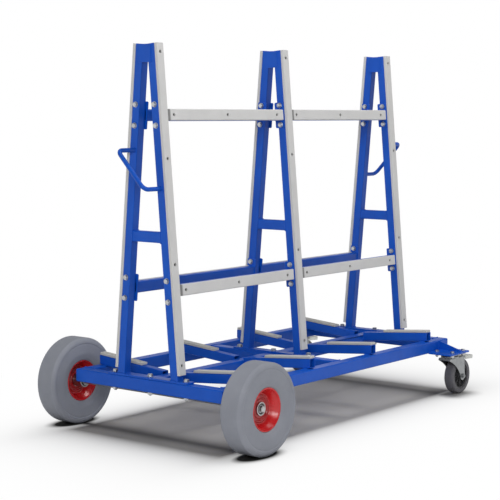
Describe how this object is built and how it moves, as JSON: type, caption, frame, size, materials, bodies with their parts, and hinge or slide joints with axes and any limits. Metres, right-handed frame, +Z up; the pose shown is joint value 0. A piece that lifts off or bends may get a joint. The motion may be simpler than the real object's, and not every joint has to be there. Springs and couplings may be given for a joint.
{
  "type": "slab buggy",
  "caption": "Leaning-frame buggy for slabs: rubber-faced A-frames on a welded tube base, large wheels at one end, braked swivel casters at the other, and tube push handles.",
  "frame": {"origin": "on the ground under the middle A-frame, at the centre of the footprint", "axes": "+X from the big wheels to the casters, +Y across the buggy towards the far side, +Z up"},
  "size_m": [2.0502, 1.1946, 1.7361],
  "materials": {
    "blue_paint": "semi-gloss paint",
    "grey_rubber": "matte",
    "pad_rubber": "matte",
    "grey_tyre": "matte",
    "red_paint": "gloss paint",
    "zinc": "zinc plated",
    "dark_rubber": "matte",
    "dark_plastic": "moulded",
    "pedal_grey": "satin"
  },
  "bodies": {
    "frame": {"cross_tube_wheel_end": "blue_paint", "cross_tube_middle": "blue_paint", "cross_tube_caster_end": "blue_paint", "side_rail_near": "blue_paint", "side_rail_far": "blue_paint", "spine_wheel_end": "blue_paint", "spine_caster_end": "blue_paint", "a_frame_1": "blue_paint", "a_frame_2": "blue_paint", "a_frame_3": "blue_paint", "rail_upper_near_1": "blue_paint", "rail_upper_near_2": "blue_paint", "rail_upper_far_1": "blue_paint", "rail_upper_far_2": "blue_paint", "rail_lower_near_1": "blue_paint", "rail_lower_near_2": "blue_paint", "rail_lower_far_1": "blue_paint", "rail_lower_far_2": "blue_paint", "handle_wheel_end": "blue_paint", "handle_caster_end": "blue_paint", "pad_near_1": "pad_rubber", "pad_near_2": "pad_rubber", "pad_near_3": "pad_rubber", "pad_near_4": "pad_rubber", "pad_far_1": "pad_rubber", "pad_far_2": "pad_rubber", "pad_far_3": "pad_rubber", "pad_far_4": "pad_rubber", "post_strip_near_1": "grey_rubber", "post_strip_near_2": "grey_rubber", "post_strip_near_3": "grey_rubber", "post_strip_far_1": "grey_rubber", "post_strip_far_2": "grey_rubber", "post_strip_far_3": "grey_rubber", "rail_strip_upper_near_1": "grey_rubber", "rail_strip_upper_near_2": "grey_rubber", "rail_strip_upper_far_1": "grey_rubber", "rail_strip_upper_far_2": "grey_rubber", "rail_strip_lower_near_1": "grey_rubber", "rail_strip_lower_near_2": "grey_rubber", "rail_strip_lower_far_1": "grey_rubber", "rail_strip_lower_far_2": "grey_rubber", "axle": "zinc", "caster_plate_near": "zinc", "caster_plate_far": "zinc"},
    "wheel_near": {"rim_near": "red_paint", "hub_near": "zinc", "tyre_near": "grey_tyre"},
    "caster_near": {"caster_fork_near": "zinc"},
    "caster_wheel_near": {"caster_tyre_near": "dark_rubber", "caster_core_near": "dark_plastic"},
    "brake_near": {"caster_brake_near": "pedal_grey"},
    "wheel_far": {"rim_far": "red_paint", "hub_far": "zinc", "tyre_far": "grey_tyre"},
    "caster_far": {"caster_fork_far": "zinc"},
    "caster_wheel_far": {"caster_tyre_far": "dark_rubber", "caster_core_far": "dark_plastic"},
    "brake_far": {"caster_brake_far": "pedal_grey"}
  },
  "joints": [
    {"name": "wheel_spin_near", "type": "hinge", "parent": "frame", "child": "wheel_near", "pos_m": [-0.81, -0.5423, 0.2], "axis": [0, 1, 0], "continuous": true},
    {"name": "caster_swivel_near", "type": "hinge", "parent": "frame", "child": "caster_near", "pos_m": [0.836, -0.4955, 0.2], "axis": [0, 0, 1], "continuous": true},
    {"name": "caster_wheel_spin_near", "type": "hinge", "parent": "caster_near", "child": "caster_wheel_near", "pos_m": [0.911, -0.4955, 0.092], "axis": [0, 1, 0], "continuous": true},
    {"name": "brake_tilt_near", "type": "hinge", "parent": "caster_near", "child": "brake_near", "pos_m": [0.924, -0.4955, 0.1896], "axis": [0, 1, 0], "range_deg": [0, 14]},
    {"name": "wheel_spin_far", "type": "hinge", "parent": "frame", "child": "wheel_far", "pos_m": [-0.81, 0.5423, 0.2], "axis": [0, 1, 0], "continuous": true},
    {"name": "caster_swivel_far", "type": "hinge", "parent": "frame", "child": "caster_far", "pos_m": [0.836, 0.4955, 0.2], "axis": [0, 0, 1], "continuous": true},
    {"name": "caster_wheel_spin_far", "type": "hinge", "parent": "caster_far", "child": "caster_wheel_far", "pos_m": [0.911, 0.4955, 0.092], "axis": [0, 1, 0], "continuous": true},
    {"name": "brake_tilt_far", "type": "hinge", "parent": "caster_far", "child": "brake_far", "pos_m": [0.924, 0.4955, 0.1896], "axis": [0, 1, 0], "range_deg": [0, 14]}
  ]
}
